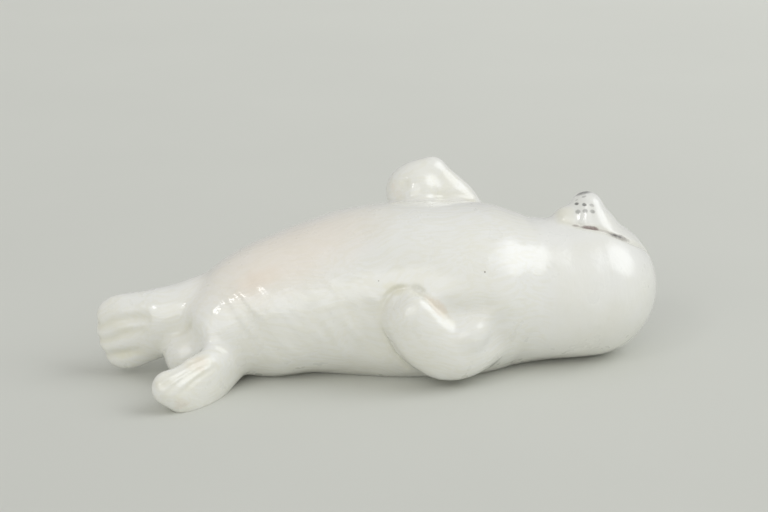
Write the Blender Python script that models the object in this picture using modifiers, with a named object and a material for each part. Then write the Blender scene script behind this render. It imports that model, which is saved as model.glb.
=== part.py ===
"""Porcelain seal pup lying on its back, head thrown up and belly to the sky.

One slip-cast, glazed piece: a hollow shell with a vent hole in the back.
Metres, +Z up, +X towards the head, +Y towards the raised front flipper.
The origin lies on the ground flat that the back rests on.
Run with: blender --background --python part.py
"""
import math

import bmesh
import bpy
import numpy as np
from mathutils import Vector

MM = 0.001

# Overall sizes; every form below is drawn in millimetres for these
DRAWN_LENGTH = 161.0
DRAWN_TRUNK_WIDTH = 56.8
FIGURE_LENGTH = 161.0 * MM
TRUNK_WIDTH = 56.8 * MM
HEAD_RADIUS = 21.1 * MM

# Casting
WALL = 3.8 * MM
VENT_RADIUS = 2.2 * MM
VENT_X = -23.5
VENT_Y = 13.0
GROUND = 0.0

# How closely the clay is drawn
CLAY_VOXEL = 0.9 * MM
SKIN_VOXEL = 0.62 * MM
CAVITY_VOXEL = 1.6 * MM
OUTER_TRIANGLES = 9800
CAVITY_TRIANGLES = 1400

# Sections of each form: X, Y, Z of the middle, half width along its broad way, half thickness
TRUNK = [
    (-78.6, -5.0, 13.4, 6.9, 7.4),
    (-74.0, -4.2, 15.7, 10.5, 10.1),
    (-69.0, -4.0, 18.8, 13.4, 14.3),
    (-60.0, -2.2, 21.9, 19.2, 18.3),
    (-45.5, -0.8, 24.7, 23.4, 20.6),
    (-30.0, 0.0, 25.4, 26.8, 23.9),
    (-18.0, 0.0, 25.0, 28.0, 25.2),
    (-2.0, 0.0, 23.8, 28.4, 25.2),
    (8.0, 0.0, 23.1, 27.3, 24.7),
    (14.5, 0.0, 22.3, 24.8, 23.6),
    (21.0, 0.0, 21.4, 22.3, 21.4),
    (31.0, 0.0, 20.6, 21.2, 20.2),
]
HEAD_CENTRE = (41.2, 0.0, 20.5)
MUZZLE = [
    (43.5, 0.5, 30.0, 11.0, 11.5),
    (42.8, 0.5, 37.0, 9.6, 8.8),
    (42.0, 0.6, 41.6, 7.6, 6.6),
    (41.8, 0.8, 44.2, 5.8, 4.8),
]
BRIDGE = [
    (56.6, 0.0, 25.8, 6.0, 3.8),
    (51.8, 0.2, 29.6, 6.0, 4.2),
    (46.8, 0.4, 35.0, 5.4, 4.4),
]
CHIN = [
    (34.5, 0.3, 34.0, 7.0, 6.0),
    (34.5, 0.3, 39.0, 5.5, 4.5),
    (35.0, 0.3, 42.0, 4.0, 3.2),
]
NEAR_ARM = [
    (13.5, -8.5, 19.0, 8.6, 7.6),
    (6.0, -18.8, 15.6, 9.2, 8.0),
    (-6.5, -21.8, 13.2, 9.5, 8.4),
    (-16.0, -26.8, 19.3, 8.6, 5.2),
    (-22.0, -27.6, 27.2, 7.2, 4.2),
]
FAR_ARM = [
    (9.0, 15.0, 28.0, 12.0, 8.0),
    (6.2, 18.6, 38.4, 11.4, 8.0),
    (2.9, 20.2, 46.8, 9.2, 6.4),
    (1.3, 21.2, 53.2, 5.8, 4.9),
]
FAR_FINGER = [
    (1.5, 21.5, 53.2, 4.4, 4.2),
    (-4.0, 21.0, 52.5, 4.6, 4.3),
    (-8.6, 19.8, 49.8, 4.5, 4.2),
    (-8.8, 18.4, 43.6, 4.2, 4.2),
]
FAR_PALM = [
    (-3.0, 17.4, 41.0, 8.0, 5.0),
    (-3.2, 17.8, 46.5, 7.4, 4.6),
    (-1.8, 18.8, 50.4, 5.0, 3.8),
]
FAR_LEG = [
    (-58.0, 3.0, 24.0, 11.0, 12.5),
    (-68.0, 4.6, 23.6, 10.2, 9.8),
    (-77.0, 8.8, 20.2, 9.6, 7.6),
    (-85.6, 14.2, 16.5, 10.3, 5.6),
    (-92.0, 18.8, 13.6, 11.2, 4.9),
    (-95.0, 20.2, 12.9, 10.2, 4.0),
]
NEAR_LEG = [
    (-66.0, -6.0, 13.5, 6.6, 6.8),
    (-70.0, -10.0, 11.6, 7.0, 6.4),
    (-74.0, -12.8, 9.6, 7.8, 5.4),
    (-79.6, -14.2, 7.3, 8.3, 4.9),
    (-86.4, -13.6, 8.2, 4.9, 3.9),
]

# The forms are drawn straight, then bent to the far side and pressed down onto the ground.
# How far each place along a form goes, as drawn X and distance, and the way that it goes
BODY_BEND = [
    (-104.0, 17.0), (-79.0, 17.0), (-72.0, 17.2), (-66.0, 17.5), (-58.0, 17.7), (-45.0, 17.6), (-32.0, 16.6),
    (-22.0, 13.6), (-12.0, 10.4), (-2.0, 8.0), (8.0, 6.2), (18.0, 4.6), (30.0, 3.4), (41.0, 2.6), (64.0, 2.6),
]
FAR_LEG_BEND = [(-104.0, 2.5), (-95.0, 3.0), (-86.0, 6.0), (-79.0, 10.0), (-72.0, 13.6), (-66.0, 15.8), (-58.0, 17.6)]
NEAR_LEG_BEND = [(-104.0, 3.0), (-95.0, 3.0), (-86.0, 3.2), (-79.0, 7.2), (-72.0, 12.0), (-66.0, 15.4), (-58.0, 17.7)]
BEND_WAY = (0.24, 0.91, -0.34)

# Lines pressed into the clay: half width, depth, then the points they run through
CREASES = [
    # round the face, from the chin past the mouth corner and the eye to the crown
    (0.75, 0.75, BODY_BEND, [(32.5, -2.6, 41.4), (35.4, -4.3, 40.8), (38.5, -6.5, 40.2), (42.7, -8.4, 39.6), (47.4, -9.8, 37.7),
                  (51.4, -10.0, 35.7), (55.3, -8.4, 33.8), (58.4, -5.6, 31.0)]),
    (0.75, 0.75, BODY_BEND, [(32.5, 2.6, 41.4), (35.4, 4.9, 40.8), (38.5, 7.1, 40.2), (42.7, 9.0, 39.6), (47.4, 10.2, 37.7),
                  (51.4, 10.4, 35.7), (55.3, 8.6, 33.8), (58.4, 5.6, 31.0)]),
    # between the near flipper's upper edge and the flank
    (1.1, 1.3, BODY_BEND, [(-20.0, -26.0, 34.2), (-17.5, -26.2, 33.4), (-15.7, -26.8, 31.6), (-13.9, -27.4, 29.3),
                (-11.7, -27.8, 26.8), (-9.9, -28.3, 25.1), (-8.6, -28.8, 23.8)]),
    # round the near hand
    (0.8, 0.8, BODY_BEND, [(-19.0, -26.0, 34.4), (-22.0, -25.7, 34.5), (-24.6, -25.7, 33.8), (-26.9, -26.1, 31.5),
                (-28.4, -26.5, 27.3), (-27.9, -27.1, 22.4), (-26.7, -27.0, 19.6), (-24.0, -25.4, 15.4),
                (-21.3, -23.9, 12.2), (-18.5, -21.0, 8.6)]),
    # foot of the raised flipper
    (1.2, 0.5, BODY_BEND, [(-10.1, 14.9, 47.4), (-3.5, 15.3, 46.4), (1.5, 14.8, 47.2), (8.0, 14.6, 47.2), (12.5, 14.9, 45.2)]),
    # curl of the raised flipper's finger
    (1.3, 0.6, BODY_BEND, [(-10.4, 18.4, 51.0), (-8.0, 16.4, 51.4), (-5.8, 16.3, 50.3), (-3.5, 16.4, 49.6), (-0.8, 15.6, 48.8)]),
    # between the rump and the far hind flipper, round the tail
    (0.9, 0.8, BODY_BEND, [(-75.2, -6.2, 29.0), (-77.1, -8.3, 24.4), (-78.8, -7.5, 22.5), (-80.3, -6.4, 20.8),
                (-82.3, -4.0, 18.6), (-84.0, -4.6, 15.0)]),
    # top of the near hind flipper's root
    (1.1, 0.5, NEAR_LEG_BEND, [(-81.2, -10.4, 16.5), (-78.7, -11.3, 17.4), (-76.3, -12.6, 18.2), (-73.2, -13.6, 18.5),
                (-69.9, -14.4, 17.5)]),
    # toes of the far hind flipper
    (1.5, 1.0, FAR_LEG_BEND, [(-88.0, 12.7, 18.6), (-94.0, 15.8, 17.6), (-98.4, 19.0, 17.2), (-96.0, 23.6, 17.8),
                (-90.0, 23.4, 19.0)]),
    (1.2, 0.3, FAR_LEG_BEND, [(-85.5, 11.6, 16.2), (-92.0, 14.0, 14.2), (-98.6, 18.8, 12.6), (-96.0, 24.0, 13.2),
                (-90.0, 23.4, 15.4)]),
    (1.2, 0.85, FAR_LEG_BEND, [(-87.5, 12.2, 9.6), (-92.0, 14.2, 8.6), (-95.4, 16.0, 8.3), (-98.4, 19.2, 8.8), (-95.6, 23.4, 8.8),
                 (-90.0, 22.6, 9.8)]),
    # toes of the near hind flipper
    (0.6, 0.4, NEAR_LEG_BEND, [(-90.0, -13.2, 9.4), (-88.1, -14.3, 11.5), (-85.8, -13.9, 12.8), (-82.8, -12.6, 13.9),
                (-80.0, -12.2, 15.0)]),
    (0.6, 0.4, NEAR_LEG_BEND, [(-89.4, -14.8, 9.2), (-87.0, -15.5, 11.2), (-84.3, -14.6, 12.5), (-81.5, -13.8, 13.4),
                (-78.8, -14.1, 14.6)]),
    (0.6, 0.35, NEAR_LEG_BEND, [(-88.4, -16.0, 8.6), (-85.8, -16.3, 10.5), (-82.9, -15.6, 11.8), (-80.2, -15.3, 12.9)]),
]

# Broad dips, drawn like the creases but fading out on every side
DIPS = [
    # flank behind the near hand
    (6.0, 1.5, BODY_BEND, [(-34.0, -26.5, 31.0), (-33.0, -27.0, 22.0)]),
]

DRAWN_TO_METRES = FIGURE_LENGTH / DRAWN_LENGTH
WIDTH_FACTOR = TRUNK_WIDTH / (DRAWN_TRUNK_WIDTH * DRAWN_TO_METRES)


def clear_scene():
    for old in list(bpy.data.objects):
        bpy.data.objects.remove(old, do_unlink=True)


def new_collection(name):
    made = bpy.data.collections.new(name)
    bpy.context.scene.collection.children.link(made)
    return made


def new_object(name, mesh, collection):
    made = bpy.data.objects.new(name, mesh)
    collection.objects.link(made)
    return made


def adopt(made, name, collection):
    """Give a primitive its name and move it to the collection."""
    made.name = name
    made.data.name = name
    for old in list(made.users_collection):
        old.objects.unlink(made)
    collection.objects.link(made)
    return made


def curve_through(stations, steps):
    """Rows on a smooth curve that passes through every station."""
    rows = [np.array(station, float) for station in stations]
    rows = [2 * rows[0] - rows[1], *rows, 2 * rows[-1] - rows[-2]]
    made = []
    for before, start, end, after in zip(rows, rows[1:], rows[2:], rows[3:]):
        for step in range(steps):
            t = step / steps
            straight = end - before
            bend = 2 * before - 5 * start + 4 * end - after
            twist = 3 * start - before - 3 * end + after
            made.append(start + 0.5 * (straight * t + bend * t**2 + twist * t**3))
    made.append(rows[-2])
    return made


def loft(name, sections, broad_start, broad_end, collection, inset=0.0, widen=1.0, sides=32, steps=5, cap_rings=5):
    """A closed skin over elliptical sections, rounded off at both ends."""
    rows = curve_through(sections, steps)
    centres = [Vector(row[:3]) for row in rows]
    rings = []
    for i, row in enumerate(rows):
        along = (centres[min(i + 1, len(rows) - 1)] - centres[max(i - 1, 0)]).normalized()
        wide = Vector(broad_start).lerp(Vector(broad_end), i / (len(rows) - 1))
        wide = (wide - along * wide.dot(along)).normalized()
        rings.append((centres[i], along, wide, row[3] * widen - inset, row[4] - inset))

    def rounded_end(ring, way):
        centre, along, wide, half_width, half_thickness = ring
        reach = min(half_width, half_thickness)
        made = []
        for step in range(1, cap_rings):
            turn = math.pi / 2 * step / cap_rings
            moved = centre + along * way * reach * math.sin(turn)
            made.append((moved, along, wide, half_width * math.cos(turn), half_thickness * math.cos(turn)))
        return made, centre + along * way * reach

    first, first_pole = rounded_end(rings[0], -1)
    last, last_pole = rounded_end(rings[-1], 1)
    rings = first[::-1] + rings + last
    verts = []
    for centre, along, wide, half_width, half_thickness in rings:
        thick = along.cross(wide)
        for side in range(sides):
            turn = 2 * math.pi * side / sides
            verts.append(centre + wide * half_width * math.cos(turn) + thick * half_thickness * math.sin(turn))
    faces = []
    for ring in range(len(rings) - 1):
        low = ring * sides
        for side in range(sides):
            after = (side + 1) % sides
            faces.append((low + side, low + after, low + sides + after, low + sides + side))
    top = (len(rings) - 1) * sides
    for side in range(sides):
        after = (side + 1) % sides
        faces.append((len(verts), after, side))
        faces.append((len(verts) + 1, top + side, top + after))
    verts += [first_pole, last_pole]
    mesh = bpy.data.meshes.new(name)
    mesh.from_pydata([v * DRAWN_TO_METRES for v in verts], [], faces)
    return new_object(name, mesh, collection)


def ball(name, centre, radius, flatten, collection):
    bpy.ops.mesh.primitive_uv_sphere_add(segments=48, ring_count=24, radius=1.0)
    made = adopt(bpy.context.object, name, collection)
    middle = Vector(centre) * DRAWN_TO_METRES
    for vert in made.data.vertices:
        vert.co = middle + Vector(vert.co[i] * radius * flatten[i] for i in range(3))
    return made


def set_modifiers(made):
    """Replace the object's mesh by what its modifiers make of it."""
    graph = bpy.context.evaluated_depsgraph_get()
    mesh = bpy.data.meshes.new_from_object(made.evaluated_get(graph))
    made.modifiers.clear()
    made.data = mesh
    return made


def one_skin(name, forms, voxel, smoothing, collection):
    """A single skin round all the forms, with every corner between them softened."""
    verts = []
    faces = []
    for form in forms:
        base = len(verts)
        verts += [v.co.copy() for v in form.data.vertices]
        faces += [[base + i for i in face.vertices] for face in form.data.polygons]
    mesh = bpy.data.meshes.new(name)
    mesh.from_pydata(verts, [], faces)
    made = new_object(name, mesh, collection)
    skin = made.modifiers.new("skin", "REMESH")
    skin.mode = "VOXEL"
    skin.voxel_size = voxel
    soften = made.modifiers.new("soften", "SMOOTH")
    soften.factor = 0.5
    soften.iterations = smoothing
    return set_modifiers(made)


def press_lines(made):
    """Press every line of CREASES and DIPS into the skin; a crease runs out at its ends."""
    mesh = made.data
    count = len(mesh.vertices)
    points = np.empty(count * 3)
    normals = np.empty(count * 3)
    mesh.vertices.foreach_get("co", points)
    mesh.vertex_normals.foreach_get("vector", normals)
    points = points.reshape(-1, 3)
    normals = normals.reshape(-1, 3)
    drop = np.zeros(count)
    for crease in CREASES + DIPS:
        half_width, depth, row, stations = crease
        line = bent(np.array(curve_through(stations, 6)), row) * DRAWN_TO_METRES
        reach = half_width * DRAWN_TO_METRES
        low = line.min(axis=0) - 4 * reach
        high = line.max(axis=0) + 4 * reach
        near = np.flatnonzero(np.all((points > low) & (points < high), axis=1))
        closest = np.full(len(near), np.inf)
        run = np.zeros(len(near))
        for i in range(len(line) - 1):
            span = line[i + 1] - line[i]
            t = np.clip((points[near] - line[i]) @ span / (span @ span), 0.0, 1.0)
            distance = np.linalg.norm(points[near] - line[i] - t[:, None] * span, axis=1)
            closer = distance < closest
            closest[closer] = distance[closer]
            run[closer] = (i + t[closer]) / (len(line) - 1)
        taper = np.clip(np.minimum(run, 1.0 - run) * 5.0, 0.0, 1.0) ** 0.5
        if crease in DIPS:
            taper = 1.0
        pressed = depth * DRAWN_TO_METRES * taper * np.exp(-((closest / reach) ** 2))
        drop[near] = np.maximum(drop[near], pressed)
    points -= normals * drop[:, None]
    mesh.vertices.foreach_set("co", points.ravel())
    mesh.update()


def bent(points, row):
    """Drawn points moved along BEND_WAY by the distance that the row gives for their place along the figure."""
    stations = np.array(curve_through(row, 12))
    moved = np.interp(points[:, 0], stations[:, 0], stations[:, 1])
    return points + moved[:, None] * np.array(BEND_WAY)


def bend(made, row):
    mesh = made.data
    points = np.empty(len(mesh.vertices) * 3)
    mesh.vertices.foreach_get("co", points)
    points = bent(points.reshape(-1, 3) / DRAWN_TO_METRES, row) * DRAWN_TO_METRES
    mesh.vertices.foreach_set("co", points.ravel())
    mesh.update()
    return made


def thin_out(made, triangles):
    """Redraw the skin with fewer triangles, keeping its shape."""
    mesh = bmesh.new()
    mesh.from_mesh(made.data)
    bmesh.ops.triangulate(mesh, faces=mesh.faces[:])
    mesh.to_mesh(made.data)
    mesh.free()
    fewer = made.modifiers.new("fewer", "DECIMATE")
    fewer.ratio = triangles / len(made.data.polygons)
    fewer.use_collapse_triangulate = True
    return set_modifiers(made)


def combine(made, other, operation):
    cut = made.modifiers.new(other.name, "BOOLEAN")
    cut.object = other
    cut.operation = operation
    cut.solver = "EXACT"
    return set_modifiers(made)


def as_cutter(made):
    made.hide_render = True
    made.display_type = "WIRE"
    return made


def clay_forms(collection):
    across = (0.0, 1.0, 0.0)
    upright = (0.0, 0.1, 1.0)
    body = [
        loft("trunk_form", TRUNK, across, across, collection, widen=WIDTH_FACTOR, sides=56),
        ball("head_form", HEAD_CENTRE, HEAD_RADIUS, (1.0, 1.02, 0.995), collection),
        loft("muzzle_form", MUZZLE, across, across, collection),
        loft("bridge_form", BRIDGE, across, across, collection),
        loft("chin_form", CHIN, across, across, collection),
        loft("near_arm_form", NEAR_ARM, (0.3, 0.0, 1.0), (0.9, 0.0, 0.5), collection),
        loft("far_arm_form", FAR_ARM, (1.0, 0.0, 0.0), (1.0, 0.0, 0.0), collection),
        loft("far_palm_form", FAR_PALM, (1.0, 0.0, 0.0), (1.0, 0.0, 0.0), collection),
        loft("far_finger_form", FAR_FINGER, across, across, collection),
    ]
    far_leg = loft("far_leg_form", FAR_LEG, upright, upright, collection)
    near_leg = loft("near_leg_form", NEAR_LEG, (0.0, 0.2, 1.0), (0.0, 0.66, 1.0), collection)
    forms = [bend(form, BODY_BEND) for form in body]
    return [*forms, bend(far_leg, FAR_LEG_BEND), bend(near_leg, NEAR_LEG_BEND)]


def cavity_form(collection):
    """The hollow that draining the slip leaves: trunk and head, one wall in from the outside."""
    inset = WALL / DRAWN_TO_METRES
    across = (0.0, 1.0, 0.0)
    body = loft("trunk_hollow", TRUNK[2:], across, across, collection, inset=inset, widen=WIDTH_FACTOR, sides=40)
    head = ball("head_hollow", HEAD_CENTRE, HEAD_RADIUS - WALL, (1.0, 1.02, 0.995), collection)
    hollow = one_skin("hollow", [as_cutter(body), as_cutter(head)], CAVITY_VOXEL, 4, collection)
    bend(hollow, BODY_BEND)
    combine(hollow, ground_form("floor_of_hollow", GROUND + WALL, collection), "DIFFERENCE")
    return as_cutter(thin_out(hollow, CAVITY_TRIANGLES))


def vent_form(collection):
    """The drain hole, from below the back up into the hollow."""
    height = 24.0 * DRAWN_TO_METRES
    bpy.ops.mesh.primitive_cylinder_add(
        vertices=40, radius=VENT_RADIUS, depth=height, location=(VENT_X * DRAWN_TO_METRES, VENT_Y * DRAWN_TO_METRES, 0.0)
    )
    made = adopt(bpy.context.object, "vent", collection)
    made.data.transform(made.matrix_basis)
    made.matrix_basis.identity()
    return as_cutter(made)


def ground_form(name, height, collection):
    """Everything below a level plane."""
    side = FIGURE_LENGTH * 2
    depth = 20.0 * DRAWN_TO_METRES
    bpy.ops.mesh.primitive_cube_add(size=1.0)
    made = adopt(bpy.context.object, name, collection)
    for vert in made.data.vertices:
        vert.co = Vector((vert.co.x * side, vert.co.y * side, (vert.co.z - 0.5) * depth + height))
    return as_cutter(made)


def glazed_porcelain():
    made = bpy.data.materials.new("glazed_porcelain")
    made.use_nodes = True
    shader = made.node_tree.nodes["Principled BSDF"]
    shader.inputs["Base Color"].default_value = (0.807, 0.807, 0.730, 1.0)
    shader.inputs["Roughness"].default_value = 0.12
    shader.inputs["Metallic"].default_value = 0.0
    return made


def build():
    clear_scene()
    figure = new_collection("seal figurine")
    tools = new_collection("forms and cutters")

    forms = clay_forms(tools)
    blended = one_skin("blended_form", forms, CLAY_VOXEL, 14, tools)
    seal = one_skin("seal", [blended], SKIN_VOXEL, 3, figure)
    press_lines(seal)
    thin_out(seal, OUTER_TRIANGLES)
    for form in [*forms, blended]:
        as_cutter(form)

    combine(seal, ground_form("ground", GROUND, tools), "DIFFERENCE")
    combine(seal, cavity_form(tools), "DIFFERENCE")
    combine(seal, vent_form(tools), "DIFFERENCE")
    seal.data.name = "seal"
    seal.data.materials.clear()
    seal.data.materials.append(glazed_porcelain())
    for face in seal.data.polygons:
        face.material_index = 0
        face.use_smooth = True


build()
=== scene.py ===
"""Glazed porcelain seal pup on a pale table: the finished figure, its painted face and the studio light."""
import math

import bpy
import numpy as np
from bpy.props import FloatProperty, FloatVectorProperty, IntProperty, PointerProperty
from mathutils import Matrix, Vector


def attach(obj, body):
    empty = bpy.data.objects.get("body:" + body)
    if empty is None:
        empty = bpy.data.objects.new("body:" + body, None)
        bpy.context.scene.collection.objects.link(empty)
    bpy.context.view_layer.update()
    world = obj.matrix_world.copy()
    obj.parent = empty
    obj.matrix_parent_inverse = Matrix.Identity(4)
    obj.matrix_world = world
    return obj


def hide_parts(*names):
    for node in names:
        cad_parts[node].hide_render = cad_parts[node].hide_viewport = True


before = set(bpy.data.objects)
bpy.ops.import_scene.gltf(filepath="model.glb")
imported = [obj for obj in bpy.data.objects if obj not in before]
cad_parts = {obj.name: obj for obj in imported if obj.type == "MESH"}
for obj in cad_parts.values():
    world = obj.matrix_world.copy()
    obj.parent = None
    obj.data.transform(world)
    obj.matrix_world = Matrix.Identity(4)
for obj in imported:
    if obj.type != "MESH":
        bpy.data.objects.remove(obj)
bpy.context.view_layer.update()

bl_info = {
    "name": "Glazed seal pup",
    "version": (1, 0, 0),
    "blender": (4, 5, 0),
    "location": "3D View > Sidebar > Seal pup",
    "description": "Casts, paints and glazes a porcelain seal pup and lights it on a pale table",
    "category": "Object",
}

MM = 0.001

# Sections of each clay form in millimetres: X, Y, Z of the middle, half width along its broad way, half thickness
TRUNK = [
    (-78.6, -5.0, 13.4, 6.9, 7.4),
    (-74.0, -4.2, 15.7, 10.5, 10.1),
    (-69.0, -4.0, 18.8, 13.4, 14.3),
    (-60.0, -2.2, 21.9, 19.2, 18.3),
    (-45.5, -0.8, 24.7, 23.4, 20.6),
    (-30.0, 0.0, 25.4, 26.8, 23.9),
    (-18.0, 0.0, 25.0, 28.0, 25.2),
    (-2.0, 0.0, 23.8, 28.4, 25.2),
    (8.0, 0.0, 23.1, 27.3, 24.7),
    (12.0, 0.0, 22.6, 25.6, 24.2),
    (15.0, 0.0, 22.2, 24.3, 23.5),
    (17.3, 0.0, 21.9, 23.2, 22.7),
    (19.0, 0.0, 21.6, 22.5, 22.1),
    (21.4, 0.0, 21.4, 22.4, 21.4),
    (25.0, 0.0, 21.1, 22.4, 20.9),
    (31.0, 0.0, 20.6, 22.3, 20.3),
    (38.0, 0.0, 20.5, 22.0, 20.6),
]
HEAD_CENTRE = (41.2, 0.0, 20.5)
HEAD_RADII = (21.1, 21.6, 20.7)
MUZZLE = [
    (43.5, 0.5, 30.0, 11.0, 11.5),
    (42.8, 0.5, 37.0, 9.6, 8.8),
    (42.0, 0.6, 41.6, 7.6, 6.6),
    (41.8, 0.8, 44.2, 5.8, 4.8),
]
BRIDGE = [
    (56.6, 0.0, 25.8, 6.0, 3.8),
    (51.8, 0.2, 29.6, 6.0, 4.2),
    (46.8, 0.4, 35.0, 5.4, 4.4),
]
CHIN = [
    (34.5, 0.3, 34.0, 7.0, 6.0),
    (34.5, 0.3, 39.0, 5.5, 4.5),
    (35.0, 0.3, 42.0, 4.0, 3.2),
]
NEAR_ARM = [
    (13.0, -9.0, 19.6, 7.8, 7.0),
    (5.8, -18.0, 15.7, 8.6, 7.6),
    (-6.5, -23.0, 13.7, 9.0, 8.4),
    (-15.6, -27.3, 19.5, 8.4, 5.6),
    (-22.0, -27.8, 27.2, 7.2, 4.4),
]
SHOULDER = [
    (-10.0, -24.5, 16.6, 5.8, 5.8),
    (-5.4, -25.9, 18.2, 6.0, 6.0),
    (-1.0, -24.7, 19.6, 6.0, 5.8),
    (3.0, -21.1, 21.0, 5.4, 5.4),
    (7.0, -15.8, 22.2, 5.0, 5.0),
]
FAR_ARM = [
    (9.0, 15.0, 28.0, 12.0, 8.0),
    (6.2, 17.6, 38.4, 11.4, 7.0),
    (2.9, 20.2, 46.8, 9.4, 4.9),
    (1.2, 21.6, 53.8, 5.0, 3.9),
]
FAR_FINGER = [
    (1.5, 21.5, 53.2, 4.4, 4.2),
    (-4.0, 21.0, 52.5, 4.6, 4.3),
    (-8.6, 19.8, 49.8, 4.5, 4.2),
    (-7.9, 18.4, 43.6, 4.2, 4.2),
]
FAR_PALM = [
    (-3.0, 17.4, 41.0, 8.0, 5.0),
    (-3.2, 17.8, 46.5, 7.4, 4.6),
    (-1.8, 18.8, 50.4, 5.0, 3.8),
]
FAR_KNOB = ((-4.2, 20.6, 47.8), (8.0, 7.8, 7.4))
FAR_LEG = [
    (-58.0, 3.0, 24.0, 11.0, 12.5),
    (-68.0, 4.6, 23.6, 10.2, 9.8),
    (-77.0, 8.8, 20.2, 9.6, 7.6),
    (-85.6, 14.2, 16.5, 10.3, 5.6),
    (-92.0, 18.8, 13.6, 11.2, 4.9),
    (-95.0, 20.2, 12.9, 10.2, 4.0),
]
NEAR_LEG = [
    (-66.0, -6.0, 13.5, 6.6, 6.8),
    (-70.0, -10.0, 11.6, 7.0, 6.4),
    (-74.0, -12.8, 9.6, 7.8, 5.4),
    (-79.6, -14.2, 7.3, 8.3, 4.9),
    (-86.4, -13.6, 8.2, 4.9, 3.9),
]

# The forms are drawn straight, then bent to the far side and pressed down onto the ground.
# How far each place along a form goes, as drawn X and distance, and the way that it goes
BODY_BEND = [
    (-104.0, 17.0), (-79.0, 17.0), (-72.0, 17.2), (-66.0, 17.5), (-58.0, 17.7), (-45.0, 17.6),
    (-32.0, 16.6), (-22.0, 13.6), (-12.0, 10.4), (-2.0, 8.0), (8.0, 6.3), (18.0, 4.9),
    (30.0, 2.8), (41.0, 1.6), (64.0, 1.2),
]
FAR_LEG_BEND = [
    (-104.0, 2.5), (-95.0, 3.0), (-86.0, 6.0), (-79.0, 10.0), (-72.0, 13.6), (-66.0, 15.8), (-58.0, 17.6),
]
NEAR_LEG_BEND = [
    (-104.0, 3.0), (-95.0, 3.0), (-86.0, 3.2), (-79.0, 7.2), (-72.0, 12.0), (-66.0, 15.4), (-58.0, 17.7),
]
# For lines whose points already lie on the finished figure
AS_DRAWN = [(-104.0, 0.0), (64.0, 0.0)]
BEND_WAY = (0.24, 0.91, -0.34)

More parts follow.
